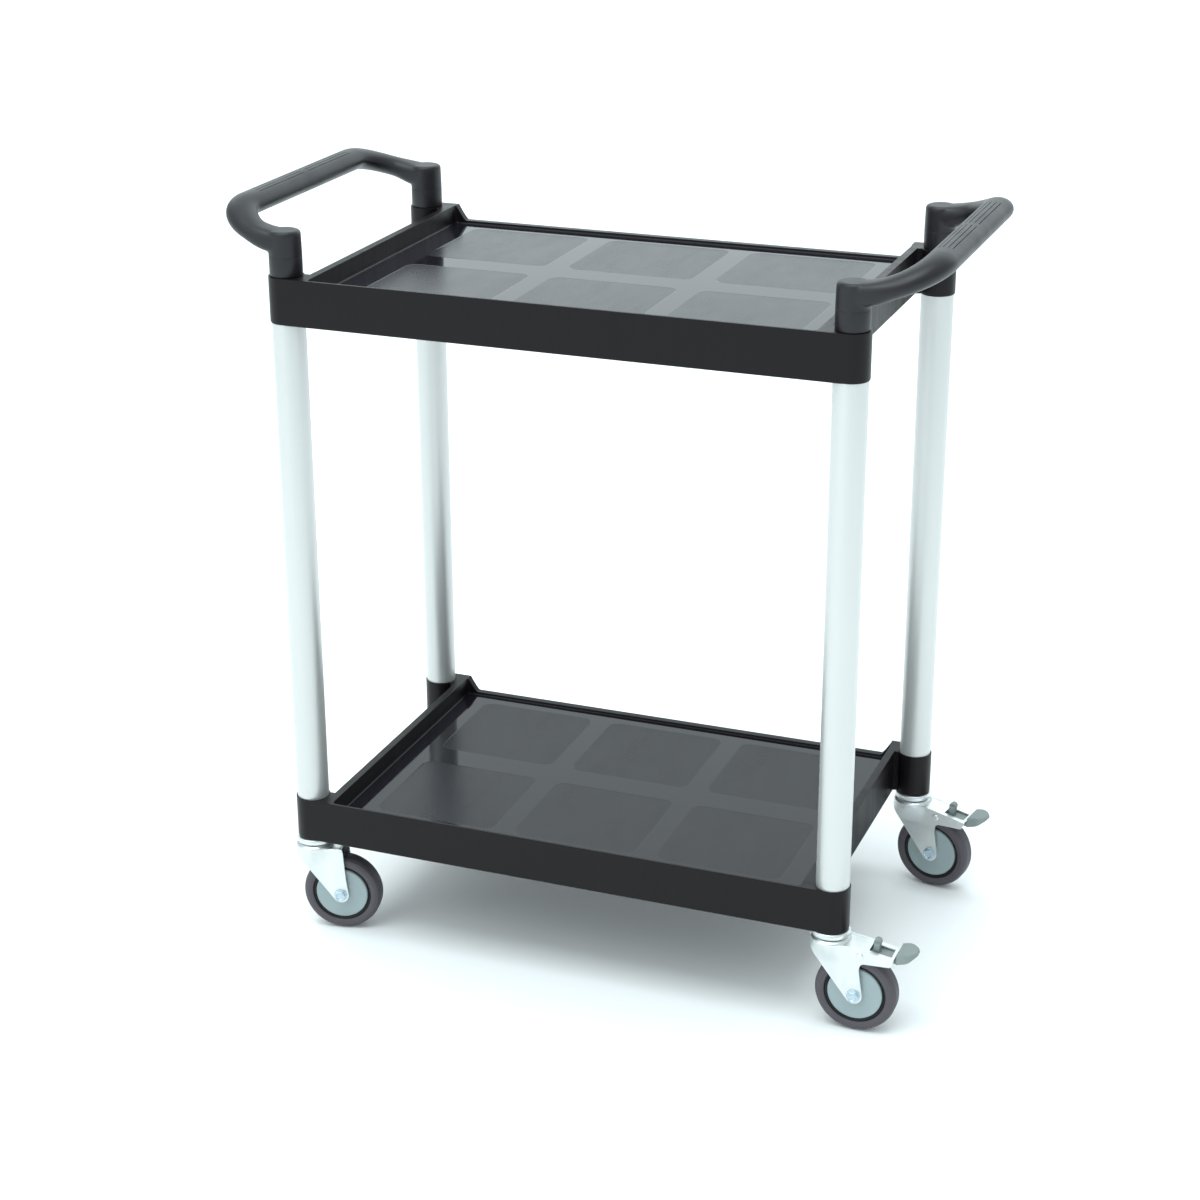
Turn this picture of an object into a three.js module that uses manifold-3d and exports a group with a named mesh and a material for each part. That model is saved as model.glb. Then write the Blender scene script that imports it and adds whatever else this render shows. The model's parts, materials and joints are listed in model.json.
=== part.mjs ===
// Two-shelf service trolley: two moulded trays on four aluminium posts, a looped push handle at each end,
// and four swivel casters, of which the two at the right-hand end (+X) carry a foot brake.
// Millimetres, +Z up. Origin on the floor, under the middle of the four posts. +X runs along the long side.
import * as THREE from "three";
import { mergeVertices } from "three/addons/utils/BufferGeometryUtils.js";
import Module from "manifold-3d";

const wasm = await Module();
wasm.setup();

// ---- Driving dimensions ----
const POST_PITCH_X = 680; // between post centres along the length
const POST_PITCH_Y = 389; // between post centres across the width
const POST_R = 20;
const POST_WALL = 1.5;
const GAP = 0.3; // left between separate pieces that touch

const TRAY_HEIGHT = 56; // full depth of a tray's front skirt
const LOWER_TRAY_Z = 128; // underside of the lower tray
const UPPER_TRAY_Z = 798; // underside of the upper tray
const BOSS_R = 21.4; // corner boss around a post
const END_WALL_X = 315; // outer face of a tray's end wall
const RIM = 10; // width of the end walls' tops and of the rear rim
const SKIN = 3; // moulded wall thickness
const FRONT_WALL = 4;
const FLOOR_DROP = 23; // tray floor below the tray's top edge
const REAR_DROP = 19; // rear rim below the tray's top edge
const REAR_SWEEP = 15; // length over which the rear rim curves up to an end wall's top
const SWEEP_START = 0.6; // how far inside the end wall's face that curve begins
const RIB_DEPTH = 6; // stiffening ribs under the floor
const RIB_PITCH = 102;
const LEDGE = 4; // what rests on the posts at the top of the upper tray's bosses
const SOCKET_FLOOR = 6; // thickness under the post in the lower tray

const HANDLE_REACH = 79; // grip centreline beyond the post centres
const HANDLE_SOCKET_R = 19.5;
const HANDLE_SOCKET_TOP = 907;
const ARM_ROOT_Z = 895; // arm centreline where it leaves the socket
const GRIP_Z = 919; // grip centreline
const GRIP_CORNER_R = 60;
const GRIP_HALF_WIDTH = 18.5;
const GRIP_HALF_HEIGHT = 13.5;
const ARM_SLIMMING = 0.88; // height of an arm's section at the socket, as a share of the grip's
const SPIGOT_LENGTH = 42; // part of the handle that plugs into the post

const WHEEL_R = 50;
const WHEEL_WIDTH = 26;
const HUB_R = 37.5;
const TRAIL = 34; // axle behind the swivel axis
const FORK_GAP = 29; // inside width between the fork's legs
const FORK_SHEET = 2.5;
const AXLE_R = 4;
const SLEEVE_R = 6.5;
const STEM_R = 6;
const BRAKE_PIVOT = { x: 40, z: 104 };
const PIVOT_R = 3;

// Swivel angle at which each caster stands, in degrees about +Z. 0 trails towards +X.
const CORNERS = [
  { name: "front_left", sx: -1, sy: -1, swivel: 12, braked: false },
  { name: "front_right", sx: 1, sy: -1, swivel: 0, braked: true },
  { name: "rear_left", sx: -1, sy: 1, swivel: 5, braked: false },
  { name: "rear_right", sx: 1, sy: 1, swivel: -10, braked: true },
];

// ---- Materials ----
function material(color, roughness, metalness) {
  return new THREE.MeshStandardMaterial({ color, roughness, metalness });
}
const TRAY_PLASTIC = material(0x232427, 0.35, 0);
const HANDLE_PLASTIC = material(0x2b2d30, 0.55, 0);
const ALUMINIUM = material(0xd5dfde, 0.45, 0.7);
const ZINC = material(0xc9d2d4, 0.3, 0.9);
const TYRE_RUBBER = material(0x4d4a52, 0.7, 0);
const HUB_PLASTIC = material(0x93a3a6, 0.5, 0);
const PEDAL_PLASTIC = material(0x87908f, 0.6, 0);
const INNER_PLASTIC = material(0x1b1c1e, 0.6, 0);

// ---- Solids ----
// A closed three.js geometry as a solid, turned the right way out if its faces point in.
function solid(geometry) {
  const bare = geometry.index ? geometry.toNonIndexed() : geometry.clone();
  bare.deleteAttribute("normal");
  bare.deleteAttribute("uv");
  const merged = mergeVertices(bare, 1e-4);
  const triVerts = new Uint32Array(merged.index.array);
  const vertProperties = merged.attributes.position.array;
  const made = new wasm.Manifold(new wasm.Mesh({ numProp: 3, vertProperties, triVerts }));
  if (made.volume() > 0) return made;
  const flipped = triVerts.slice();
  for (let i = 0; i < flipped.length; i += 3) {
    [flipped[i + 1], flipped[i + 2]] = [triVerts[i + 2], triVerts[i + 1]];
  }
  return new wasm.Manifold(new wasm.Mesh({ numProp: 3, vertProperties, triVerts: flipped }));
}

function geometryOf(body) {
  const mesh = body.getMesh();
  const points = new Float32Array(mesh.numVert * 3);
  for (let i = 0; i < mesh.numVert; i++) {
    points.set(mesh.vertProperties.subarray(i * mesh.numProp, i * mesh.numProp + 3), i * 3);
  }
  const geometry = new THREE.BufferGeometry();
  geometry.setAttribute("position", new THREE.BufferAttribute(points, 3));
  geometry.setIndex(new THREE.BufferAttribute(mesh.triVerts, 1));
  return geometry;
}

function union(...bodies) {
  return bodies.reduce((whole, body) => whole.add(body));
}

function cut(body, ...tools) {
  return tools.reduce((rest, tool) => rest.subtract(tool), body);
}

function box(x0, x1, y0, y1, z0, z1) {
  const geometry = new THREE.BoxGeometry(x1 - x0, y1 - y0, z1 - z0);
  return solid(geometry.translate((x0 + x1) / 2, (y0 + y1) / 2, (z0 + z1) / 2));
}

// An upright cylinder from z0 to z1.
function rod(radius, z0, z1, x = 0, y = 0, sides = 24) {
  const geometry = new THREE.CylinderGeometry(radius, radius, z1 - z0, sides);
  return solid(geometry.rotateX(Math.PI / 2).translate(x, y, (z0 + z1) / 2));
}

// A cylinder along Y from y0 to y1, centred on (x, z).
function crossRod(radius, y0, y1, x, z, sides = 12) {
  const geometry = new THREE.CylinderGeometry(radius, radius, y1 - y0, sides);
  return solid(geometry.translate(x, (y0 + y1) / 2, z));
}

// A body of revolution about +Z, from [radius, z] points that start and end on the axis or close on themselves.
function turned(points, sides = 24) {
  const profile = points.map(([r, z]) => new THREE.Vector2(r, z));
  return solid(new THREE.LatheGeometry(profile, sides).rotateX(Math.PI / 2));
}

// A flat plate whose outline is drawn in X and Z, from y0 to y1.
function sidePlate(shape, y0, y1, curveSegments = 5) {
  const geometry = new THREE.ExtrudeGeometry(shape, { depth: y1 - y0, bevelEnabled: false, curveSegments });
  return solid(geometry.rotateX(Math.PI / 2).translate(0, y1, 0));
}

function named(name, body, look) {
  const mesh = new THREE.Mesh(geometryOf(body), look);
  mesh.name = name;
  return mesh;
}

// ---- Trays ----
const HALF_X = POST_PITCH_X / 2;
const HALF_Y = POST_PITCH_Y / 2;
const TRAY_SIDE_Y = HALF_Y + BOSS_R; // outer face of the long skirts
const REAR_RIM_Y = TRAY_SIDE_Y - RIM;
const LOAD_X = END_WALL_X - RIM;

// The tray's plan from z0 to z1: the load area, and a boss at each corner that stands out past the end wall.
function trayOutline(z0, z1) {
  const quarter = Math.PI / 2;
  const neck = Math.PI / 6; // a boss leaves its bridge to the end wall at this angle past square
  const bridgeY = HALF_Y - BOSS_R * Math.sin(neck);
  const plan = new THREE.Shape();
  plan.moveTo(-HALF_X, -TRAY_SIDE_Y);
  plan.absarc(HALF_X, -HALF_Y, BOSS_R, -quarter, 2 * quarter - neck, false);
  plan.lineTo(END_WALL_X, -bridgeY);
  plan.lineTo(END_WALL_X, bridgeY);
  plan.absarc(HALF_X, HALF_Y, BOSS_R, 2 * quarter + neck, 5 * quarter, false);
  plan.absarc(-HALF_X, HALF_Y, BOSS_R, quarter, 4 * quarter - neck, false);
  plan.lineTo(-END_WALL_X, bridgeY);
  plan.lineTo(-END_WALL_X, -bridgeY);
  plan.absarc(-HALF_X, -HALF_Y, BOSS_R, neck, 3 * quarter, false);
  const geometry = new THREE.ExtrudeGeometry(plan, { depth: z1 - z0, bevelEnabled: false, curveSegments: 16 });
  return solid(geometry.translate(0, 0, z0));
}

// What is taken off above the rear rim, with a concave sweep up to each end wall's top.
function rearNotch(top) {
  const rim = top - REAR_DROP;
  const bend = LOAD_X - REAR_SWEEP * 0.8;
  const shape = new THREE.Shape();
  shape.moveTo(-LOAD_X + SWEEP_START, top + 1);
  shape.quadraticCurveTo(-bend, rim, -LOAD_X + REAR_SWEEP, rim);
  shape.lineTo(LOAD_X - REAR_SWEEP, rim);
  shape.quadraticCurveTo(bend, rim, LOAD_X - SWEEP_START, top + 1);
  return sidePlate(shape, REAR_RIM_Y - 1, TRAY_SIDE_Y + 1, 4);
}

// The open underside: a recess inside the skirts, and the cells between the ribs under the floor.
function underside(bottom, floor) {
  const x = END_WALL_X - SKIN;
  const y = TRAY_SIDE_Y - FRONT_WALL;
  const ceiling = floor - SKIN;
  const ribTip = ceiling - RIB_DEPTH;
  const ribs = [-2, -1, 0, 1, 2].map((i) => i * RIB_PITCH);
  const starts = [-x, ...ribs.map((middle) => middle + SKIN / 2)];
  const ends = [...ribs.map((middle) => middle - SKIN / 2), x];
  const cells = starts.flatMap((start, i) => [
    box(start, ends[i], -y, -SKIN / 2, ribTip - 1, ceiling),
    box(start, ends[i], SKIN / 2, y, ribTip - 1, ceiling),
  ]);
  return union(box(-x, x, -y, y, bottom - 1, ribTip), ...cells);
}

function tray(bottom, socket) {
  const top = bottom + TRAY_HEIGHT;
  const floor = top - FLOOR_DROP;
  const channelY = HALF_Y - BOSS_R;
  const channels = [-1, 1].map((side) => {
    const [x0, x1] = [side * (LOAD_X + SKIN), side * (END_WALL_X - SKIN)].sort((a, b) => a - b);
    return box(x0, x1, -channelY, channelY, floor - SKIN - 1, top - SKIN);
  });
  const load = box(-LOAD_X, LOAD_X, -TRAY_SIDE_Y + FRONT_WALL, REAR_RIM_Y, floor, top + 1);
  const sockets = CORNERS.map(({ sx, sy }) => socket(sx * HALF_X, sy * HALF_Y));
  return cut(trayOutline(bottom, top), underside(bottom, floor), ...channels, load, rearNotch(top), ...sockets);
}

// ---- Posts and handles ----
const POST_BOTTOM = LOWER_TRAY_Z + SOCKET_FLOOR + GAP;
const UPPER_TRAY_TOP = UPPER_TRAY_Z + TRAY_HEIGHT;
const POST_TOP = UPPER_TRAY_TOP - LEDGE - GAP;
const POST_BORE_R = POST_R - POST_WALL;

// The posts stand in blind sockets of the lower tray, which the caster's stem passes through.
function lowerSocket(x, y) {
  return union(
    rod(POST_R + GAP, LOWER_TRAY_Z + SOCKET_FLOOR, LOWER_TRAY_Z + TRAY_HEIGHT + 1, x, y),
    rod(STEM_R + GAP, LOWER_TRAY_Z - 1, LOWER_TRAY_Z + SOCKET_FLOOR + 1, x, y, 12),
  );
}

// The upper tray hangs on the posts' ends by a ledge, which the handle's spigot passes through.
function upperSocket(x, y) {
  return union(
    rod(POST_R + GAP, UPPER_TRAY_Z - 1, POST_TOP + GAP, x, y),
    rod(POST_BORE_R, POST_TOP, UPPER_TRAY_TOP + 1, x, y),
  );
}

function post() {
  return cut(rod(POST_R, POST_BOTTOM, POST_TOP), rod(POST_BORE_R, POST_BOTTOM - 1, POST_TOP + 1));
}

// The grip's centreline in plan: out from one post, round a corner, along Y, round a corner and back.
function handlePath(side) {
  const point = (reach, y) => new THREE.Vector3(side * (HALF_X + reach), y, 0);
  const straight = HANDLE_REACH - GRIP_CORNER_R;
  const turn = HALF_Y - GRIP_CORNER_R;
  const pull = GRIP_CORNER_R * 0.5523; // makes a cubic curve follow a quarter circle
  const corner = (sy) => [
    point(straight, sy * HALF_Y),
    point(straight + pull, sy * HALF_Y),
    point(HANDLE_REACH, sy * (turn + pull)),
    point(HANDLE_REACH, sy * turn),
  ];
  const path = new THREE.CurvePath();
  path.add(new THREE.LineCurve3(point(0, -HALF_Y), point(straight, -HALF_Y)));
  path.add(new THREE.CubicBezierCurve3(...corner(-1)));
  path.add(new THREE.LineCurve3(point(HANDLE_REACH, -turn), point(HANDLE_REACH, turn)));
  path.add(new THREE.CubicBezierCurve3(...corner(1).reverse()));
  path.add(new THREE.LineCurve3(point(straight, HALF_Y), point(0, HALF_Y)));
  return path;
}

// How far along its arm a point of the handle is: 0 at the socket, 1 where the grip starts.
function armProgress(x, y) {
  const straight = HANDLE_REACH - GRIP_CORNER_R;
  const out = Math.abs(x) - HALF_X - straight;
  const inward = Math.abs(y) - (HALF_Y - GRIP_CORNER_R);
  const length = straight + (GRIP_CORNER_R * Math.PI) / 2;
  if (inward <= 0) return 1;
  const travelled = out < 0 ? straight + out : straight + GRIP_CORNER_R * Math.atan2(out, inward);
  return Math.max(0, travelled) / length;
}

// Lifts a loop drawn in plan: the arms rise smoothly from the sockets to the grip and grow to its height.
function raiseArms(geometry) {
  const position = geometry.attributes.position;
  for (let i = 0; i < position.count; i++) {
    const rise = THREE.MathUtils.smoothstep(armProgress(position.getX(i), position.getY(i)), 0, 1);
    const thickness = THREE.MathUtils.lerp(ARM_SLIMMING, 1, rise);
    position.setZ(i, position.getZ(i) * thickness + THREE.MathUtils.lerp(ARM_ROOT_Z, GRIP_Z, rise));
  }
  return geometry;
}

function handle(side) {
  const section = new THREE.Shape();
  section.absellipse(0, 0, GRIP_HALF_HEIGHT, GRIP_HALF_WIDTH, 0, Math.PI * 2);
  const loop = new THREE.ExtrudeGeometry(section, {
    steps: 28,
    curveSegments: 6,
    extrudePath: handlePath(side),
    bevelEnabled: false,
  });
  const spigotR = POST_BORE_R - GAP;
  const leg = turned(
    [
      [0, POST_TOP - SPIGOT_LENGTH],
      [spigotR - 1.5, POST_TOP - SPIGOT_LENGTH],
      [spigotR, POST_TOP - SPIGOT_LENGTH + 3],
      [spigotR, UPPER_TRAY_TOP + GAP],
      [HANDLE_SOCKET_R, UPPER_TRAY_TOP + GAP],
      [HANDLE_SOCKET_R, HANDLE_SOCKET_TOP - 4],
      [HANDLE_SOCKET_R - 4, HANDLE_SOCKET_TOP],
      [0, HANDLE_SOCKET_TOP],
    ],
    20,
  );
  const legs = [-1, 1].map((sy) => leg.translate([side * HALF_X, sy * HALF_Y, 0]));
  return union(solid(raiseArms(loop)), ...legs);
}

// ---- Casters. Each is drawn about its own swivel axis, trailing towards +X ----
const HEAD_TOP = LOWER_TRAY_Z - GAP;
const CUP_BOTTOM = 121.4;
const CUP_ROOF = 125;
const FORK_TOP = 116;
const HEAD_CROWN = FORK_TOP + 3.4; // top of the fork's round head, under the balls
const LEG_OUT = FORK_GAP / 2 + FORK_SHEET;
const AXLE = { x: TRAIL, z: WHEEL_R };

// The expanding plug inside the foot of the post, which grips the caster's stem.
function stemPlug() {
  const [z0, z1] = [POST_BOTTOM, POST_BOTTOM + 34];
  return cut(rod(POST_BORE_R - GAP, z0, z1, 0, 0, 16), rod(STEM_R + GAP, z0 - 1, z1 + 1, 0, 0, 12));
}

// The threaded stem, riveted over under the fork's head.
function stem() {
  return turned(
    [
      [0, 108.5],
      [9, 108.5],
      [10.5, 110],
      [10.5, FORK_TOP - 4 - GAP],
      [STEM_R, FORK_TOP - 4 - GAP],
      [STEM_R, 165],
      [0, 165],
    ],
    12,
  );
}

// The upper bearing cup, clamped under the tray, with a rim that hides the balls.
function bearingCup() {
  return turned(
    [
      [STEM_R + GAP, HEAD_TOP],
      [23.5, HEAD_TOP],
      [23.5, CUP_BOTTOM],
      [20.5, CUP_BOTTOM],
      [20.5, CUP_ROOF],
      [STEM_R + GAP, CUP_ROOF],
      [STEM_R + GAP, HEAD_TOP],
    ],
    20,
  );
}

// Swivel bearing: the ring that carries the balls between cup and fork.
function ballRing() {
  return turned(
    [
      [15, HEAD_CROWN + 1.3],
      [17.4, HEAD_CROWN + GAP],
      [19.8, HEAD_CROWN + 1.3],
      [19.8, CUP_ROOF - 1.3],
      [17.4, CUP_ROOF - GAP],
      [15, CUP_ROOF - 1.3],
      [15, HEAD_CROWN + 1.3],
    ],
    16,
  );
}

// Side outline of a fork leg. A braked fork carries on into the cheek of the brake housing.
function legOutline(braked) {
  const shape = new THREE.Shape();
  const footR = 10.5;
  shape.moveTo(-17, FORK_TOP - 1);
  shape.lineTo(-17, 109);
  shape.lineTo(-6, 86);
  shape.lineTo(AXLE.x - 8.6, AXLE.z - 6);
  shape.absarc(AXLE.x, AXLE.z, footR, Math.PI * 1.194, Math.PI * 2.03, false);
  if (braked) {
    shape.lineTo(39.5, 84);
    shape.quadraticCurveTo(39.5, 94, 49, 94);
    shape.lineTo(77, 96);
    shape.lineTo(81, 107);
    shape.lineTo(22, FORK_TOP - 1);
  } else {
    shape.lineTo(38, FORK_TOP - 5);
    shape.lineTo(36, FORK_TOP - 1);
  }
  return shape;
}

// Top of the brake housing: a strip that slopes down from the head, with a window over the lever.
function housingTop() {
  const roof = new THREE.Shape();
  roof.moveTo(18, FORK_TOP - 0.2);
  roof.lineTo(18, FORK_TOP - FORK_SHEET - 0.2);
  roof.lineTo(80.1, 104.6);
  roof.lineTo(81, 107.1);
  const strip = sidePlate(roof, -LEG_OUT, LEG_OUT);
  return cut(strip, box(50, 77, -9.5, 9.5, 100, FORK_TOP + 2));
}

function fork(braked) {
  const outline = legOutline(braked);
  const legs = union(sidePlate(outline, -LEG_OUT, -FORK_GAP / 2), sidePlate(outline, FORK_GAP / 2, LEG_OUT));
  const crown = box(-17, braked ? 24 : 36, -LEG_OUT, LEG_OUT, FORK_TOP - 4, FORK_TOP - 1);
  const head = turned(
    [
      [0, FORK_TOP - 4],
      [24, FORK_TOP - 4],
      [25, FORK_TOP + 0.5],
      [22, HEAD_CROWN],
      [0, HEAD_CROWN],
    ],
    20,
  );
  const blank = union(legs, crown, head, ...(braked ? [housingTop()] : []));
  const holes = [
    rod(STEM_R + GAP, 100, 130, 0, 0, 16),
    crossRod(AXLE_R + GAP, -LEG_OUT - 1, LEG_OUT + 1, AXLE.x, AXLE.z),
  ];
  if (braked) holes.push(crossRod(PIVOT_R + GAP, -LEG_OUT - 1, LEG_OUT + 1, BRAKE_PIVOT.x, BRAKE_PIVOT.z));
  return cut(blank, ...holes);
}

// Axle: a hexagon-headed bolt whose head is on the near side (-Y).
function axleBolt() {
  const headFace = -LEG_OUT - GAP;
  const shank = crossRod(AXLE_R, headFace - 0.5, LEG_OUT + 8.5, AXLE.x, AXLE.z);
  const head = crossRod(7.5, headFace - 5, headFace, AXLE.x, AXLE.z, 6);
  return union(shank, head);
}

function axleNut() {
  const face = LEG_OUT + GAP;
  return cut(
    crossRod(7.5, face, face + 6.5, AXLE.x, AXLE.z, 6),
    crossRod(AXLE_R + GAP, face - 1, face + 8, AXLE.x, AXLE.z),
  );
}

// Spacer tube on the axle, clamped between the legs. The wheel turns on it.
function axleSleeve() {
  const half = FORK_GAP / 2 - GAP;
  return cut(
    crossRod(SLEEVE_R, -half, half, AXLE.x, AXLE.z),
    crossRod(AXLE_R + GAP, -half - 1, half + 1, AXLE.x, AXLE.z),
  );
}

// A ring about the axle, from [radius, offset along the axle] points that close on themselves.
function wheelRing(points, sides) {
  return turned(points, sides).rotate([90, 0, 0]).translate([AXLE.x, 0, AXLE.z]);
}

function wheelHub() {
  const face = FORK_GAP / 2 - 1.2;
  const bore = SLEEVE_R + GAP;
  return wheelRing(
    [
      [bore, -face],
      [11, -face],
      [HUB_R, -face + 2.5],
      [HUB_R, face - 2.5],
      [11, face],
      [bore, face],
      [bore, -face],
    ],
    20,
  );
}

function tyre() {
  const half = WHEEL_WIDTH / 2;
  const inner = HUB_R + GAP;
  return wheelRing(
    [
      [inner, -half],
      [WHEEL_R - 5, -half],
      [WHEEL_R, -half + 6],
      [WHEEL_R, half - 6],
      [WHEEL_R - 5, half],
      [inner, half],
      [inner, -half],
    ],
    32,
  );
}

// ---- Foot brake ----
const LEVER_HALF = FORK_GAP / 2 - 1;
const TOE_HALF = 16;

// The plastic pedal: a toe plate outside the housing, and a tongue that carries the release tab in the window.
function brakePedal() {
  const side = new THREE.Shape();
  side.moveTo(47, 105.5);
  side.lineTo(47, 101.5);
  side.lineTo(82.5, 100.4);
  side.quadraticCurveTo(98, 104.4, 107.7, 112.4);
  side.quadraticCurveTo(107.5, 115.6, 103, 116.3);
  side.quadraticCurveTo(92, 116.6, 83.5, 113.8);
  side.lineTo(82.3, 103);
  side.lineTo(62, 105.5);
  const plan = new THREE.Shape();
  plan.moveTo(40, -LEVER_HALF);
  plan.lineTo(83, -LEVER_HALF);
  plan.lineTo(83, -TOE_HALF);
  plan.bezierCurveTo(100, -TOE_HALF, 108, -9, 108, 0);
  plan.bezierCurveTo(108, 9, 100, TOE_HALF, 83, TOE_HALF);
  plan.lineTo(83, LEVER_HALF);
  plan.lineTo(40, LEVER_HALF);
  const footprint = new THREE.ExtrudeGeometry(plan, { depth: 30, bevelEnabled: false, curveSegments: 5 });
  const plate = sidePlate(side, -TOE_HALF - 1, TOE_HALF + 1).intersect(solid(footprint.translate(0, 0, 92)));
  const tab = crossRod(4.6, -6, 6, 57, 118);
  const neck = box(53.5, 60.5, -6, 6, 104, 118);
  return union(plate, neck, tab);
}

// The steel lever under the pedal's tongue: it turns on the pivot pin and presses its shoe on the tyre.
function brakeLever() {
  const side = new THREE.Shape();
  side.moveTo(34, 102.8);
  side.quadraticCurveTo(34, 110, 41, 110);
  side.lineTo(46, 107);
  side.lineTo(46.6, 101.2);
  side.lineTo(74, 98.8);
  side.lineTo(73, 96.8);
  side.lineTo(60.5, 97);
  side.quadraticCurveTo(47, 100.4, 34, 102.8);
  return cut(sidePlate(side, -9, 9), crossRod(PIVOT_R + GAP, -12, 12, BRAKE_PIVOT.x, BRAKE_PIVOT.z));
}

function pivotPin() {
  const shank = crossRod(PIVOT_R, -LEG_OUT - 0.8, LEG_OUT + 0.8, BRAKE_PIVOT.x, BRAKE_PIVOT.z);
  const heads = [-1, 1].map((s) => {
    const [y0, y1] = [s * (LEG_OUT + GAP), s * (LEG_OUT + 1.5)].sort((a, b) => a - b);
    return crossRod(4.5, y0, y1, BRAKE_PIVOT.x, BRAKE_PIVOT.z);
  });
  return union(shank, ...heads);
}

function caster({ name, swivel, braked }) {
  const group = new THREE.Group();
  group.rotation.z = THREE.MathUtils.degToRad(swivel);
  group.add(
    named(`caster_stem_${name}`, stem(), ZINC),
    named(`bearing_cup_${name}`, bearingCup(), ZINC),
    named(`ball_ring_${name}`, ballRing(), ZINC),
    named(`fork_${name}`, fork(braked), ZINC),
    named(`axle_bolt_${name}`, axleBolt(), ZINC),
    named(`axle_nut_${name}`, axleNut(), ZINC),
    named(`axle_sleeve_${name}`, axleSleeve(), ZINC),
    named(`wheel_hub_${name}`, wheelHub(), HUB_PLASTIC),
    named(`tyre_${name}`, tyre(), TYRE_RUBBER),
  );
  if (braked) {
    group.add(
      named(`brake_pedal_${name}`, brakePedal(), PEDAL_PLASTIC),
      named(`brake_lever_${name}`, brakeLever(), ZINC),
      named(`brake_pin_${name}`, pivotPin(), ZINC),
    );
  }
  return group;
}

// ---- Assembly ----
const trolley = new THREE.Group();
trolley.add(
  named("tray_lower", tray(LOWER_TRAY_Z, lowerSocket), TRAY_PLASTIC),
  named("tray_upper", tray(UPPER_TRAY_Z, upperSocket), TRAY_PLASTIC),
  named("handle_left", handle(-1), HANDLE_PLASTIC),
  named("handle_right", handle(1), HANDLE_PLASTIC),
);
for (const corner of CORNERS) {
  const station = new THREE.Group();
  station.position.set(corner.sx * HALF_X, corner.sy * HALF_Y, 0);
  station.add(
    named(`post_${corner.name}`, post(), ALUMINIUM),
    named(`stem_plug_${corner.name}`, stemPlug(), INNER_PLASTIC),
    caster(corner),
  );
  trolley.add(station);
}

export default trolley;
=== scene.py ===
import json
import math

import bmesh
import bpy
from mathutils import Matrix, Vector

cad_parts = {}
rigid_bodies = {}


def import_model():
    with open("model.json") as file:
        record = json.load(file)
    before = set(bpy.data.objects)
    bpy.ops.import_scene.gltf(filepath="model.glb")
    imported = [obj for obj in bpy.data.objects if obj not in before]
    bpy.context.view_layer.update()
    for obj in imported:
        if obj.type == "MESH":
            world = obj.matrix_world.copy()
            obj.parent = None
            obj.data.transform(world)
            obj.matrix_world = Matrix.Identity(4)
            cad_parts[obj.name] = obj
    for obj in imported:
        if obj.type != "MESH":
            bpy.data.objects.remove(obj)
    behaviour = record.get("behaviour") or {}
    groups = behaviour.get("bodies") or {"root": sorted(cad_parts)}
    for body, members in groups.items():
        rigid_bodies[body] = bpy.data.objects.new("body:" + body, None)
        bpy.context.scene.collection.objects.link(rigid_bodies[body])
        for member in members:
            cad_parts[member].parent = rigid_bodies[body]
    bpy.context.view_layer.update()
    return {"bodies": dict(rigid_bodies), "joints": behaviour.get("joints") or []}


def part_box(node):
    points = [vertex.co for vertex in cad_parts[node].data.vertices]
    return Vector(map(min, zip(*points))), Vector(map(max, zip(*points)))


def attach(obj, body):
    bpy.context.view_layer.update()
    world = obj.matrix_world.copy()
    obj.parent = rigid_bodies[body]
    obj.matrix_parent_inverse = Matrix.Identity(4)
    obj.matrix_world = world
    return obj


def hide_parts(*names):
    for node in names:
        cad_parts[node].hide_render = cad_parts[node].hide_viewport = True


# The two-shelf service trolley as it looks: every CAD node is replaced by a detailed piece. Shapes are
# drawn in millimetres in the frame's own axes and stored in metres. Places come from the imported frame: the
# boxes of its nodes give the main levels, and the caster joints give each corner and its caster's angle.

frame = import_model()
MM = 0.001


def lowest(node, axis):
    """Where a CAD node begins along one axis, in millimetres."""
    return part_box(node)[0]["xyz".index(axis)] / MM


def highest(node, axis):
    """Where it ends."""
    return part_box(node)[1]["xyz".index(axis)] / MM


# ---- Driving dimensions, in millimetres ----
GAP = 0.3  # between pieces that fit into each other
NEAR = 0.01  # how far off a plane a point may be and still count as on it

TRAY_LOW_Z = lowest("tray_lower", "z")
TRAY_UP_Z = lowest("tray_upper", "z")
TRAY_HEIGHT = highest("tray_upper", "z") - TRAY_UP_Z
TRAY_SIDE_Y = highest("tray_upper", "y")
END_WALL_X = 315  # outer face of an end wall
RIM = 10  # width of the end walls and of the rear rim
SKIN = 3
FRONT_WALL = 4
FLOOR_DROP = 23  # load floor below the tray's top
FLOOR_FILLET = 2.2
REAR_DROP = 19  # rear rim below the tray's top
REAR_SWEEP = 15  # length over which the rear rim curves up to an end wall
RIB_DEPTH = 6
RIB_PITCH = 102
RIB_MARGIN = 6  # solid border round the cells under the floor
LOAD_X = END_WALL_X - RIM
REAR_RIM_Y = TRAY_SIDE_Y - RIM

# Matter panels of the load floor: two rows of three
PANEL_HALF_X = 80
PANEL_HALF_Y = 77
PANEL_CORNER_R = 14
PANEL_PITCH_X = 187.5
PANEL_PITCH_Y = 197
PANEL_SHIFT_Y = 8.5  # of the two rows towards the rear
PANEL_EDGE = 0.8  # half the width over which a panel gives way to a band

POST_R = (highest("post_front_left", "x") - lowest("post_front_left", "x")) / 2
POST_BOTTOM = lowest("post_front_left", "z")
POST_TOP = highest("post_front_left", "z")
POST_BORE_R = 18.5
PLUG_R = POST_BORE_R - GAP  # what is pushed into a post: plugs below, the handles' spigots above
PLUG_LENGTH = 34

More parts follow.
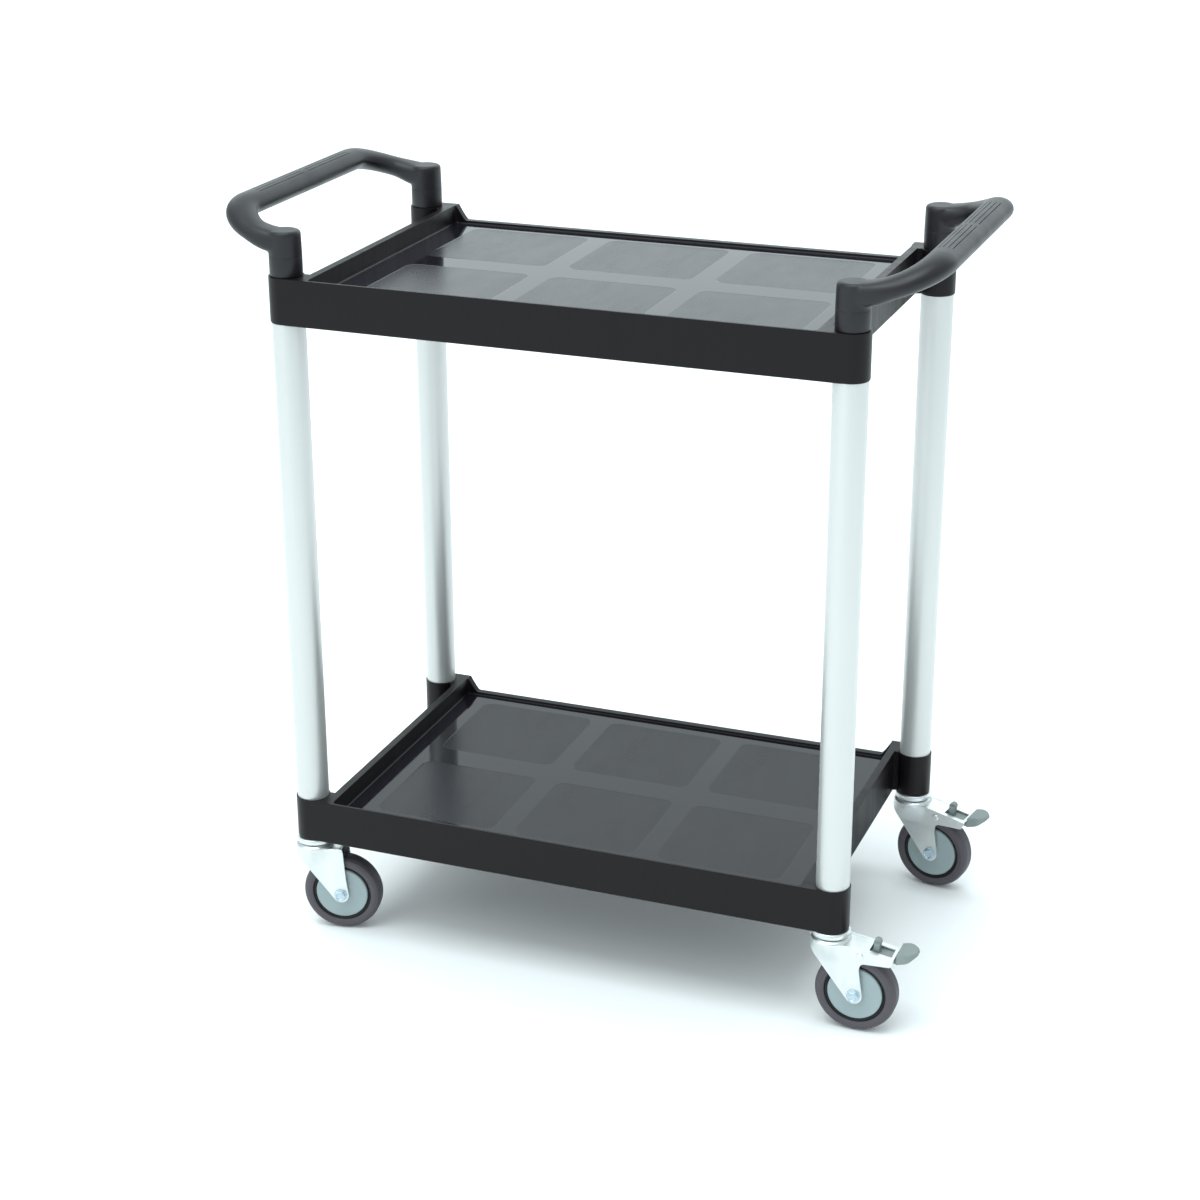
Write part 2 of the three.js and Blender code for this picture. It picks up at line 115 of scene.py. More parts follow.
GRIP_HALF_WIDTH = 18.5
GRIP_HALF_HEIGHT = 13.5
GRIP_X = highest("handle_right", "x") - GRIP_HALF_WIDTH
GRIP_Z = highest("handle_right", "z") - GRIP_HALF_HEIGHT
GRIP_CORNER_R = 60
GRIP_SWELL = 0.3  # added before the grip is smoothed, which takes it off again
ARM_ROOT_Z = 895
ARM_SLIMMING = 0.88  # height of an arm's section at its root, as a share of the grip's
ARM_GUSSET = 3  # how much deeper an arm is under its root
SOCKET_R = 19.5
SOCKET_TOP = 907
SOCKET_RING_Z = 877  # where the socket's collar ends
SPIGOT_BOTTOM = lowest("handle_right", "z")

WHEEL_R = 50
TYRE_HALF = 13
TRAIL = 34  # axle behind the swivel axis
LEG_IN = 14.5  # half the inside width of a fork
LEG_SHEET = 2.5
LEG_OUT = LEG_IN + LEG_SHEET
STEM_R = 6
STEM_BORE_R = STEM_R + GAP
CUP_TOP = 127.7
CUP_BOTTOM = 121.4
CUP_ROOF = 125
FORK_CROWN = 119.4  # top of a fork's round head
FORK_CAP = 115.4  # top of its cheeks
HEAD_R = 25
HEAD_TAPER = 0.34  # how fast the fork narrows from its head towards the legs' fronts
AXLE_R = 4
AXLE_BORE_R = AXLE_R + GAP
SLEEVE_R = 6.5
AXLE_HEAD_R = 7.5
AXLE_NUT_HEIGHT = 6.5
BRAKE_PIVOT = (40, 104)
RIVET_R = 3


def across(x, z):
    """Lays a body drawn about Z along Y, through (x, z): its +Z end becomes the near one."""
    return Matrix.Translation((x, 0, z)) @ Matrix.Rotation(math.pi / 2, 4, "X")


class Corner:
    """One caster station: where its post stands, and the turn of the caster about it."""

    def __init__(self, swivel, roll):
        self.name = swivel["name"].replace("swivel_", "")
        self.x, self.y = swivel["pos_m"][0] / MM, swivel["pos_m"][1] / MM
        self.turn = math.atan2(-roll["axis"][0], roll["axis"][1])
        self.braked = ("brake_" + self.name) in frame["bodies"]

    def post(self):
        return Matrix.Translation((self.x, self.y, 0))

    def caster(self):
        return self.post() @ Matrix.Rotation(self.turn, 4, "Z")

    def axle(self):
        return self.caster() @ across(TRAIL, WHEEL_R)


JOINTS = {joint["name"]: joint for joint in frame["joints"]}
CORNERS = [
    Corner(joint, JOINTS[name.replace("swivel_", "roll_")])
    for name, joint in JOINTS.items()
    if name.startswith("swivel_")
]
HALF_X = max(corner.x for corner in CORNERS)
HALF_Y = max(corner.y for corner in CORNERS)
BOSS_R = TRAY_SIDE_Y - HALF_Y  # round boss of a tray about each post


# ---- Outlines ----
def rounded(points, steps=4, closed=True):
    """Corners given as (a, b, radius) become arcs; (a, b) stays sharp."""
    out = []
    count = len(points)
    for i, point in enumerate(points):
        here = Vector(point[:2])
        ends = not closed and i in (0, count - 1)
        if len(point) < 3 or ends:
            out.append(here)
            continue
        back = Vector(points[i - 1][:2]) - here
        ahead = Vector(points[(i + 1) % count][:2]) - here
        half = back.angle(ahead) / 2
        reach = min(point[2] / math.tan(half), 0.49 * back.length, 0.49 * ahead.length)
        radius = reach * math.tan(half)
        middle = here + (back.normalized() + ahead.normalized()).normalized() * radius / math.sin(half)
        first = here + back.normalized() * reach - middle
        last = here + ahead.normalized() * reach - middle
        sweep = first.angle_signed(last)
        for k in range(steps + 1):
            turn = Matrix.Rotation(-sweep * k / steps, 2)
            out.append(middle + turn @ first)
    return out


def arc(cx, cy, radius, start, end, steps):
    """Points on a circle, angles in degrees."""
    angles = [math.radians(start + (end - start) * k / steps) for k in range(steps + 1)]
    return [Vector((cx + radius * math.cos(a), cy + radius * math.sin(a))) for a in angles]


def smoothstep(value, low, high):
    t = min(1.0, max(0.0, (value - low) / (high - low)))
    return t * t * (3 - 2 * t)


# ---- Solids ----
def turned(profile, segments=64, closed=False):
    """A body of revolution about Z from (radius, z) points; points on the axis become poles."""
    bm = bmesh.new()
    rings = []
    for r, z in profile:
        if r < 1e-6:
            rings.append([bm.verts.new((0, 0, z))])
            continue
        angles = [2 * math.pi * k / segments for k in range(segments)]
        rings.append([bm.verts.new((r * math.cos(a), r * math.sin(a), z)) for a in angles])
    pairs = list(zip(rings, rings[1:] + ([rings[0]] if closed else [])))
    for low, high in pairs:
        for k in range(segments):
            after = k + 1
            quad = [low[k % len(low)], low[after % len(low)], high[after % len(high)], high[k % len(high)]]
            corners = list(dict.fromkeys(quad))
            if len(corners) > 2:
                bm.faces.new(corners)
    bmesh.ops.recalc_face_normals(bm, faces=bm.faces)
    return bm


def prism(outline, low, high):
    """An outline in X and Y, from z = low to z = high."""
    bm = bmesh.new()
    bottom = [bm.verts.new((p[0], p[1], low)) for p in outline]
    top = [bm.verts.new((p[0], p[1], high)) for p in outline]
    count = len(outline)
    bm.faces.new(bottom)
    bm.faces.new(top)
    for k in range(count):
        bm.faces.new((bottom[k], bottom[(k + 1) % count], top[(k + 1) % count], top[k]))
    bmesh.ops.recalc_face_normals(bm, faces=bm.faces)
    return bm


def side_prism(outline, low, high):
    """An outline in X and Z, from y = low to y = high."""
    return moved(prism(outline, -high, -low), Matrix.Rotation(math.pi / 2, 4, "X"))


def block(x, y, z):
    outline = [(x[0], y[0]), (x[1], y[0]), (x[1], y[1]), (x[0], y[1])]
    return prism(outline, z[0], z[1])


def moved(bm, matrix):
    bmesh.ops.transform(bm, matrix=matrix, verts=bm.verts)
    return bm


def scratch(bm):
    """The body as a passing object, for a modifier to work on."""
    mesh = bpy.data.meshes.new("scratch")
    bm.to_mesh(mesh)
    bm.free()
    thing = bpy.data.objects.new("scratch", mesh)
    bpy.context.scene.collection.objects.link(thing)
    return thing


def with_modifier(bm, kind, tool=None, **settings):
    """The body after one modifier. It and the tool body are used up."""
    thing = scratch(bm)
    scratches = [thing]
    modifier = thing.modifiers.new("step", kind)
    for key, value in settings.items():
        setattr(modifier, key, value)
    if tool:
        scratches.append(scratch(tool))
        modifier.object = scratches[1]
    shaped = thing.evaluated_get(bpy.context.evaluated_depsgraph_get())
    out = bmesh.new()
    out.from_mesh(shaped.data)
    for used in scratches:
        mesh = used.data
        bpy.data.objects.remove(used)
        bpy.data.meshes.remove(mesh)
    return out


def boolean(bm, tool, operation):
    return with_modifier(bm, "BOOLEAN", tool, operation=operation, solver="EXACT")


def cut(bm, *tools):
    for tool in tools:
        bm = boolean(bm, tool, "DIFFERENCE")
    return bm


def fused(bm, *tools):
    for tool in tools:
        bm = boolean(bm, tool, "UNION")
    return bm


def together(*bodies):
    """Separate bodies in one mesh."""
    whole = bmesh.new()
    for body in bodies:
        mesh = bpy.data.meshes.new("part")
        body.to_mesh(mesh)
        body.free()
        whole.from_mesh(mesh)
        bpy.data.meshes.remove(mesh)
    return whole


def eased(bm, width, segments=2, above=40, where=None):
    """Rounds the edges that turn by more than above degrees."""
    limit = math.radians(above)
    edges = [e for e in bm.edges if e.is_manifold and e.calc_face_angle(0) > limit]
    if where:
        edges = [e for e in edges if where(e)]
    bmesh.ops.bevel(
        bm, geom=edges, offset=width, offset_type="OFFSET", segments=segments, profile=0.5,
        affect="EDGES", clamp_overlap=False,
    )
    return bm


def smoothed(bm, voxel, iterations):
    """One skin over everything, with its creases softened."""
    bm = with_modifier(bm, "REMESH", mode="VOXEL", voxel_size=voxel, use_smooth_shade=True)
    return with_modifier(bm, "SMOOTH", factor=0.5, iterations=iterations)


def cleaned(bm):
    """Without the slivers that the cuts leave."""
    bmesh.ops.remove_doubles(bm, verts=bm.verts, dist=0.002)
    bmesh.ops.dissolve_degenerate(bm, edges=bm.edges, dist=0.002)
    return bm


def parted(bm, xs, ys):
    """Splits the faces along upright planes, so that no face runs round a hole."""
    for normal, places in (((1, 0, 0), xs), ((0, 1, 0), ys)):
        for place in places:
            everything = bm.verts[:] + bm.edges[:] + bm.faces[:]
            at = Vector(normal) * place
            split = bmesh.ops.bisect_plane(bm, geom=everything, dist=0.0001, plane_co=at, plane_no=normal)
            for part in split["geom_cut"]:
                if isinstance(part, bmesh.types.BMEdge):
                    part.seam = True
    bmesh.ops.dissolve_limit(bm, angle_limit=0.002, verts=bm.verts, edges=bm.edges, delimit={"SEAM"})
    return bm


def piece(name, bm, look, body, replaced, flat_faces=False):
    """Stores a body in metres as a named piece that rides on a body and stands for CAD nodes."""
    bmesh.ops.triangulate(bm, faces=[f for f in bm.faces if len(f.verts) > 4])
    moved(bm, Matrix.Scale(MM, 4))
    mesh = bpy.data.meshes.new(name)
    bm.to_mesh(mesh)
    bm.free()
    mesh.materials.append(look)
    mesh.polygons.foreach_set("use_smooth", [True] * len(mesh.polygons))
    mesh.set_sharp_from_angle(angle=math.radians(32))
    thing = bpy.data.objects.new(name, mesh)
    bpy.context.scene.collection.objects.link(thing)
    if flat_faces:
        thing.modifiers.new("flat faces", "WEIGHTED_NORMAL").keep_sharp = True
    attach(thing, body)
    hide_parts(*replaced)


# ---- Materials ----
class Look:
    """A principled material with short calls for its procedural nodes."""

    def __init__(self, name, **constants):
        self.material = bpy.data.materials.new(name)
        self.material.use_nodes = True
        self.tree = self.material.node_tree
        self.shader = self.tree.nodes["Principled BSDF"]
        for socket, value in constants.items():
            self.shader.inputs[socket.replace("_", " ")].default_value = value
        self.coordinates = self.tree.nodes.new("ShaderNodeTexCoord").outputs["Object"]

    def put(self, socket, value):
        if isinstance(value, bpy.types.NodeSocket):
            self.tree.links.new(value, socket)
        else:
            socket.default_value = value

    def math(self, operation, *values):
        node = self.tree.nodes.new("ShaderNodeMath")
        node.operation = operation
        for socket, value in zip(node.inputs, values):
            self.put(socket, value)
        return node.outputs[0]

    def stretched(self, x=1.0, y=1.0, z=1.0):
        node = self.tree.nodes.new("ShaderNodeMapping")
        self.put(node.inputs["Vector"], self.coordinates)
        node.inputs["Scale"].default_value = (x, y, z)
        return node.outputs[0]

    def noise(self, scale, detail=3.0, rough=0.5, along=None):
        node = self.tree.nodes.new("ShaderNodeTexNoise")
        self.put(node.inputs["Vector"], along or self.coordinates)
        node.inputs["Scale"].default_value = scale
        node.inputs["Detail"].default_value = detail
        node.inputs["Roughness"].default_value = rough
        return node.outputs["Fac"]

    def spread(self, value, low, high, to_low, to_high):
        """value between low and high becomes a number between to_low and to_high."""
        node = self.tree.nodes.new("ShaderNodeMapRange")
        node.interpolation_type = "SMOOTHSTEP"
        for socket, given in zip(node.inputs, (value, low, high, to_low, to_high)):
            self.put(socket, given)
        return node.outputs[0]

    def mixed(self, share, first, second):
        node = self.tree.nodes.new("ShaderNodeMix")
        node.data_type = "RGBA"
        self.put(node.inputs[0], share)
        for socket, colour in zip(node.inputs[6:8], (first, second)):
            self.put(socket, (*colour, 1) if isinstance(colour, tuple) else colour)
        return node.outputs[2]

    def shared(self, share, inside, outside):
        """A number that is inside where share is 1, and outside where it is 0."""
        kept = self.math("MULTIPLY", share, inside)
        rest = self.math("MULTIPLY", self.math("SUBTRACT", 1.0, share), outside)
        return self.math("ADD", kept, rest)

    def split(self):
        node = self.tree.nodes.new("ShaderNodeSeparateXYZ")
        self.put(node.inputs[0], self.coordinates)
        return node.outputs[:3]

    def upward(self):
        """1 on faces that look straight up, 0 on upright ones."""
        node = self.tree.nodes.new("ShaderNodeSeparateXYZ")
        self.put(node.inputs[0], self.tree.nodes["Texture Coordinate"].outputs["Normal"])
        return node.outputs[2]

    def bumps(self, *layers):
        """layers are (height, strength, distance in metres)."""
        normal = None
        for height, strength, distance in layers:
            node = self.tree.nodes.new("ShaderNodeBump")
            node.inputs["Strength"].default_value = strength
            node.inputs["Distance"].default_value = distance
            self.put(node.inputs["Height"], height)
            if normal:
                self.put(node.inputs["Normal"], normal)
            normal = node.outputs[0]
        self.put(self.shader.inputs["Normal"], normal)

    def colour(self, value):
        self.put(self.shader.inputs["Base Color"], value)

    def roughness(self, value):
        self.put(self.shader.inputs["Roughness"], value)


def floor_panels(look, x, y):
    """1 on the panels of the load floor, 0 on the bands between them. Distances here are in metres."""
    pitch_x, pitch_y = PANEL_PITCH_X * MM, PANEL_PITCH_Y * MM
    corner = PANEL_CORNER_R * MM
    across_x = look.math("PINGPONG", look.math("ADD", x, pitch_x * 2), pitch_x / 2)
    along_y = look.math("PINGPONG", look.math("ADD", y, pitch_y - PANEL_SHIFT_Y * MM), pitch_y / 2)
    from_column = look.math("ABSOLUTE", across_x)
    from_row = look.math("SUBTRACT", pitch_y / 2, along_y)
    over_x = look.math("MAXIMUM", look.math("SUBTRACT", from_column, PANEL_HALF_X * MM - corner), 0.0)
    over_y = look.math("MAXIMUM", look.math("SUBTRACT", from_row, PANEL_HALF_Y * MM - corner), 0.0)
    squares = look.math("ADD", look.math("POWER", over_x, 2.0), look.math("POWER", over_y, 2.0))
    edge = look.math("SQRT", squares)
    return look.spread(edge, corner - PANEL_EDGE * MM, corner + PANEL_EDGE * MM, 1.0, 0.0)


def tray_look(name, floor_z):
    """Near-black moulded plastic. The load floor has matter panels between smoother, glossier bands."""
    look = Look(name, Specular_IOR_Level=0.20)
    x, y, z = look.split()
    height = look.math("ABSOLUTE", look.math("SUBTRACT", z, floor_z))
    facing_up = look.spread(look.upward(), 0.85, 0.95, 0.0, 1.0)
    on_floor = look.math("MULTIPLY", look.spread(height, 0.0002, 0.0006, 1.0, 0.0), facing_up)
    panel = look.math("MULTIPLY", floor_panels(look, x, y), on_floor)
    cloud = look.noise(9, 4, 0.55)
    streaks = look.noise(60, 3, 0.6, look.stretched(z=0.06))
    grain = look.noise(1500, 2, 0.5)
    scuffs = look.noise(26, 6, 0.75, look.stretched(y=0.35))
    wall = look.mixed(streaks, (0.0048, 0.0030, 0.0042), (0.0078, 0.0058, 0.0072))
    load = look.mixed(cloud, (0.0066, 0.0052, 0.0092), (0.0112, 0.0098, 0.0144))
    look.colour(look.mixed(on_floor, wall, load))
    wall_rough = look.spread(streaks, 0.3, 0.7, 0.34, 0.42)
    band_rough = look.spread(scuffs, 0.35, 0.75, 0.05, 0.10)
    panel_rough = look.spread(scuffs, 0.3, 0.8, 0.235, 0.29)
    look.roughness(look.shared(on_floor, look.shared(panel, panel_rough, band_rough), wall_rough))
    raised_bands = look.math("SUBTRACT", 1.0, panel)
    middle_seam = look.spread(look.math("ABSOLUTE", x), 0.0, 0.006, 0.0, 1.0)
    look.bumps(
        (raised_bands, 0.35, 0.0004), (middle_seam, 0.12, 0.0002),
        (cloud, 0.08, 0.0012), (grain, 0.05, 0.00008),
    )
    return look.material


def handle_look():
    """Dark grey satin plastic with a fine moulded grain, rubbed smoother in places."""
    look = Look("handle_plastic", Specular_IOR_Level=0.42)
    grain = look.noise(1400, 2, 0.6)
    rub = look.noise(14, 5, 0.6)
    look.colour(look.mixed(rub, (0.0078, 0.0064, 0.0086), (0.0118, 0.0106, 0.0132)))
    look.roughness(look.spread(rub, 0.3, 0.7, 0.38, 0.47))
    look.bumps((grain, 0.12, 0.00012), (rub, 0.1, 0.0006))
    return look.material


def aluminium_look():
    """Pale satin anodised tube with very faint draw lines along it."""
    look = Look("satin_aluminium", Metallic=0.55)
    lines = look.noise(700, 2, 0.5, look.stretched(z=0.004))
    cloud = look.noise(6, 3, 0.5)
    tone = look.mixed(lines, (0.60, 0.61, 0.60), (0.66, 0.67, 0.66))
    look.colour(look.mixed(cloud, tone, (0.64, 0.65, 0.64)))
    look.roughness(look.spread(lines, 0.3, 0.7, 0.34, 0.42))
    look.bumps((lines, 0.06, 0.00005))
    return look.material


def zinc_look():
    """Bright zinc plate: satin, with soft upright streaks that turn from bluish to straw."""
    look = Look("zinc_plate", Metallic=0.85)
    streaks = look.noise(55, 2, 0.5, look.stretched(z=0.18))
    bloom = look.noise(30, 3, 0.5)
    marks = look.noise(500, 2, 0.5)
    tone = look.mixed(streaks, (0.58, 0.65, 0.70), (0.84, 0.825, 0.775))
    look.colour(look.mixed(look.spread(bloom, 0.3, 0.7, 0.0, 0.35), tone, (0.77, 0.79, 0.785)))
    look.roughness(look.spread(bloom, 0.3, 0.75, 0.28, 0.38))
    look.bumps((marks, 0.05, 0.00004), (bloom, 0.05, 0.0003))
    return look.material


def bolt_look():
    """Blue-tinted zinc on the bolts and nuts, duller where a spanner has rubbed."""
    look = Look("bolt_zinc", Metallic=0.8)
    rub = look.noise(180, 3, 0.6)
    look.colour(look.mixed(rub, (0.44, 0.56, 0.64), (0.60, 0.70, 0.76)))
    look.roughness(look.spread(rub, 0.3, 0.7, 0.24, 0.38))
    look.bumps((rub, 0.08, 0.0001))
    return look.material


def tyre_look():
    """Dark rubber with a purple cast, dusty and slightly scuffed on the tread."""
    look = Look("tyre_rubber", Specular_IOR_Level=0.4)
    dust = look.noise(60, 5, 0.65)
    grain = look.noise(1100, 2, 0.5)
    look.colour(look.mixed(dust, (0.060, 0.052, 0.062), (0.092, 0.083, 0.095)))
    look.roughness(look.spread(dust, 0.3, 0.7, 0.45, 0.62))
    look.bumps((grain, 0.15, 0.0001), (dust, 0.1, 0.0003))
    return look.material


def plain_plastic_look(name, dark, light, low, high, specular=0.5):
    """A moulded plastic with cloudy tone and a fine grain, its roughness between low and high."""
    look = Look(name, Specular_IOR_Level=specular)
    cloud = look.noise(45, 4, 0.6)
    grain = look.noise(1500, 2, 0.5)
    look.colour(look.mixed(cloud, dark, light))
    look.roughness(look.spread(cloud, 0.3, 0.7, low, high))
    look.bumps((grain, 0.12, 0.0001), (cloud, 0.05, 0.0003))
    return look.material


HANDLE_LOOK = handle_look()
ALUMINIUM = aluminium_look()
ZINC = zinc_look()
TYRE = tyre_look()
BOLT_ZINC = bolt_look()
HUB_GREY = plain_plastic_look("hub_grey", (0.27, 0.335, 0.345), (0.325, 0.395, 0.41), 0.36, 0.46)
# The rim's near-black colour is painted shade: it stands in for the shadow in the recessed gap between the
# hub covers and the tyre.
RIM_PAINTED_SHADE = plain_plastic_look("rim_black", (0.006, 0.006, 0.007), (0.011, 0.011, 0.012), 0.40, 0.55, 0.3)
PEDAL_GREY = plain_plastic_look("pedal_grey", (0.19, 0.225, 0.22), (0.24, 0.275, 0.27), 0.50, 0.62)
INNER_BLACK = plain_plastic_look("inner_black", (0.014, 0.014, 0.016), (0.022, 0.022, 0.024), 0.45, 0.6)


# ---- Trays ----
def tray_plan():
    """The tray's outline: straight sides, and a round boss at each corner beyond the end walls."""
    bridge = HALF_Y - BOSS_R / 2
    steps = 30
    return [
        *arc(HALF_X, -HALF_Y, BOSS_R, -90, 150, steps),
        Vector((END_WALL_X, -bridge)),
        Vector((END_WALL_X, bridge)),
        *arc(HALF_X, HALF_Y, BOSS_R, 210, 450, steps),
        *arc(-HALF_X, HALF_Y, BOSS_R, 90, 330, steps),
        Vector((-END_WALL_X, bridge)),
        Vector((-END_WALL_X, -bridge)),
        *arc(-HALF_X, -HALF_Y, BOSS_R, 30, 270, steps),
    ]


def load_space(floor, top):
    """What is open above the floor, with soft corners and a fillet along the floor."""
    x, front, rear, soft = LOAD_X, -TRAY_SIDE_Y + FRONT_WALL, REAR_RIM_Y, 5
    plan = rounded([(-x, front, soft), (x, front, soft), (x, rear, soft), (-x, rear, soft)], 5)

    def along_floor(edge):
        return all(abs(vert.co.z - floor) < NEAR for vert in edge.verts)

    return eased(prism(plan, floor, top + 5), FLOOR_FILLET, 4, 60, along_floor)


def rear_notch(top):
    """What is open above the low rear rim, sweeping up to the end walls' tops at both ends."""
    rim = top - REAR_DROP
    start, pull, end = LOAD_X - 0.6, LOAD_X - REAR_SWEEP * 0.8, LOAD_X - REAR_SWEEP
    steps = 8

    def sweep(side):
        """A quadratic curve from above the end wall's top down to the rim."""
        points = []
        for k in range(steps + 1):
            t = k / steps
            a, b, c = (1 - t) ** 2, 2 * t * (1 - t), t * t
            x = a * start + b * pull + c * end
            points.append(Vector((side * x, a * (top + 1) + b * rim + c * rim)))
        return points

    return side_prism(sweep(-1) + sweep(1)[::-1], REAR_RIM_Y - 8, TRAY_SIDE_Y + 2)


def tray_underside(bottom, floor):
    """Open recess inside the skirts, and the shallow cells between the ribs."""
    x, y = END_WALL_X - SKIN, TRAY_SIDE_Y - FRONT_WALL
    ceiling = floor - SKIN
    tip = ceiling - RIB_DEPTH
    ribs = [i * RIB_PITCH for i in (-2, -1, 0, 1, 2)]
    starts = [-x + RIB_MARGIN] + [middle + SKIN / 2 for middle in ribs]
    ends = [middle - SKIN / 2 for middle in ribs] + [x - RIB_MARGIN]
    cells = []
    for start, end in zip(starts, ends):
        cells.append(block((start, end), (-y + RIB_MARGIN, -SKIN / 2), (tip - 1, ceiling)))
        cells.append(block((start, end), (SKIN / 2, y - RIB_MARGIN), (tip - 1, ceiling)))
    recess = prism(rounded([(-x, -y, 4), (x, -y, 4), (x, y, 4), (-x, y, 4)], 4), bottom - 1, tip)
    return [recess, together(*cells)]


def socket(corner, bottom, top, upper):
    """What is cut from a tray's boss: room for the post, and a narrower bore past its end.

    In the lower tray that bore lets the caster's stem through the floor that the post stands on. In the
    upper one it lets the handle's spigot through the ledge by which the tray rests on the post."""
    low, high = (bottom - 1, POST_TOP + GAP) if upper else (POST_BOTTOM - GAP, top + 1)
    wide = turned([(0, low), (POST_R + GAP, low), (POST_R + GAP, high), (0, high)])
    bore = POST_BORE_R if upper else STEM_BORE_R
    low, high = (POST_TOP, top + 1) if upper else (bottom - 1, POST_BOTTOM)
    narrow = turned([(0, low), (bore, low), (bore, high), (0, high)])
    return [moved(hole, corner.post()) for hole in (wide, narrow)]


def tray(name, node, bottom, upper):
    """One moulding: the basin with its low rear rim, the skirts and bosses, and the ribs underneath."""
    top = bottom + TRAY_HEIGHT
    floor = top - FLOOR_DROP

    def under_a_skirt(edge):
        """The bottom edges, apart from those of the end walls, which are too thin to round."""
        low = all(abs(vert.co.z - bottom) < NEAR for vert in edge.verts)
        return low and not all(abs(abs(vert.co.x) - END_WALL_X) < NEAR for vert in edge.verts)

    def above_bottom(edge):
        return any(vert.co.z > bottom + NEAR for vert in edge.verts)

    body = eased(prism(tray_plan(), bottom, top), 2.5, 4, 60, under_a_skirt)
    holes = [hole for corner in CORNERS for hole in socket(corner, bottom, top, upper)]
    body = cut(body, load_space(floor, top), rear_notch(top), *tray_underside(bottom, floor), *holes)
    body = parted(cleaned(body), (-HALF_X, 0, HALF_X), (-HALF_Y, 0, HALF_Y))
    body = eased(body, 0.6, 2, 50, above_bottom)
    look = tray_look(name + "_plastic", floor * MM)
    piece(name, body, look, "frame", [node], flat_faces=True)


# ---- Posts and handles ----
def post(corner):
    edge = 0.6
    profile = rounded([
        (POST_BORE_R, POST_BOTTOM, edge), (POST_R, POST_BOTTOM, edge),
        (POST_R, POST_TOP, edge), (POST_BORE_R, POST_TOP, edge),
    ], 3)
    bm = moved(turned(profile, 96, closed=True), corner.post())
    piece("tube_" + corner.name, bm, ALUMINIUM, "frame", ["post_" + corner.name])


def grip_route(side):
    """Points along the handle: place and angle in plan, and how far up its arm each one is, from 0 to 1."""
    arm_steps, bend_steps, grip_steps = 6, 30, 12
    turn_x, turn_y = GRIP_X - GRIP_CORNER_R, HALF_Y - GRIP_CORNER_R
    straight, bend = turn_x - HALF_X, GRIP_CORNER_R * math.pi / 2
    total = straight + bend
    arm = []
    for k in range(arm_steps):
        travelled = straight * k / arm_steps
        arm.append((HALF_X + travelled, -HALF_Y, 0.0, travelled))
    for k in range(bend_steps + 1):
        a = math.pi / 2 * k / bend_steps
        x, y = turn_x + GRIP_CORNER_R * math.sin(a), -turn_y - GRIP_CORNER_R * math.cos(a)
        arm.append((x, y, a, straight + bend * k / bend_steps))
    grip = [(GRIP_X, -turn_y + 2 * turn_y * k / grip_steps, math.pi / 2, total) for k in range(1, grip_steps)]
    back = [(x, -y, math.pi - a, travelled) for x, y, a, travelled in reversed(arm)]
    return [(side * x, y, a, smoothstep(travelled, 0, total)) for x, y, a, travelled in arm + grip + back]


def grip_section(lift):
    """Offsets across and up: an ellipse on the grip, boxier and with a gusset below towards the socket."""
    half_width = GRIP_HALF_WIDTH + GRIP_SWELL
    half_height = (GRIP_HALF_HEIGHT + GRIP_SWELL) * (ARM_SLIMMING + (1 - ARM_SLIMMING) * lift)
    power = 0.62 + 0.38 * smoothstep(lift, 0.0, 0.35)
    gusset = ARM_GUSSET * (1 - smoothstep(lift, 0.0, 0.4))
    count = 40
    points = []
    for k in range(count):
        c, s = math.cos(2 * math.pi * k / count), math.sin(2 * math.pi * k / count)
        wide = math.copysign(abs(c) ** power, c) * half_width
        tall = math.copysign(abs(s) ** power, s) * half_height + min(0.0, s) * gusset
        points.append((wide, tall))
    return points


def grip_loop(side):
    """The grip and its two arms: the section carried along the route and lifted from socket to grip."""
    bm = bmesh.new()
    rings = []
    for x, y, angle, lift in grip_route(side):
        height = ARM_ROOT_Z + (GRIP_Z - ARM_ROOT_Z) * lift
        sideways = Vector((side * math.sin(angle), -math.cos(angle), 0))
        ring = [Vector((x, y, height + tall)) + sideways * wide for wide, tall in grip_section(lift)]
        rings.append([bm.verts.new(point) for point in ring])
    for low, high in zip(rings, rings[1:]):
        for k in range(len(low)):
            bm.faces.new((low[k - 1], low[k], high[k], high[k - 1]))
    bm.faces.new(rings[0])
    bm.faces.new(rings[-1])
    bmesh.ops.recalc_face_normals(bm, faces=bm.faces)
    return bm


def grip_grooves(side):
    """Fine grooves along the top of the grip, in two runs with a break between them."""
    half_width, depth = 0.4, 1.1
    slots = []
    for offset in (-8, -3, 3, 8):
        x = side * GRIP_X + offset
        top = GRIP_Z + GRIP_HALF_HEIGHT * math.sqrt(1 - (offset / GRIP_HALF_WIDTH) ** 2)
        for run in ((-118, -5), (5, 118)):
            slots.append(block((x - half_width, x + half_width), run, (top - depth, top + 4)))
    return together(*slots)


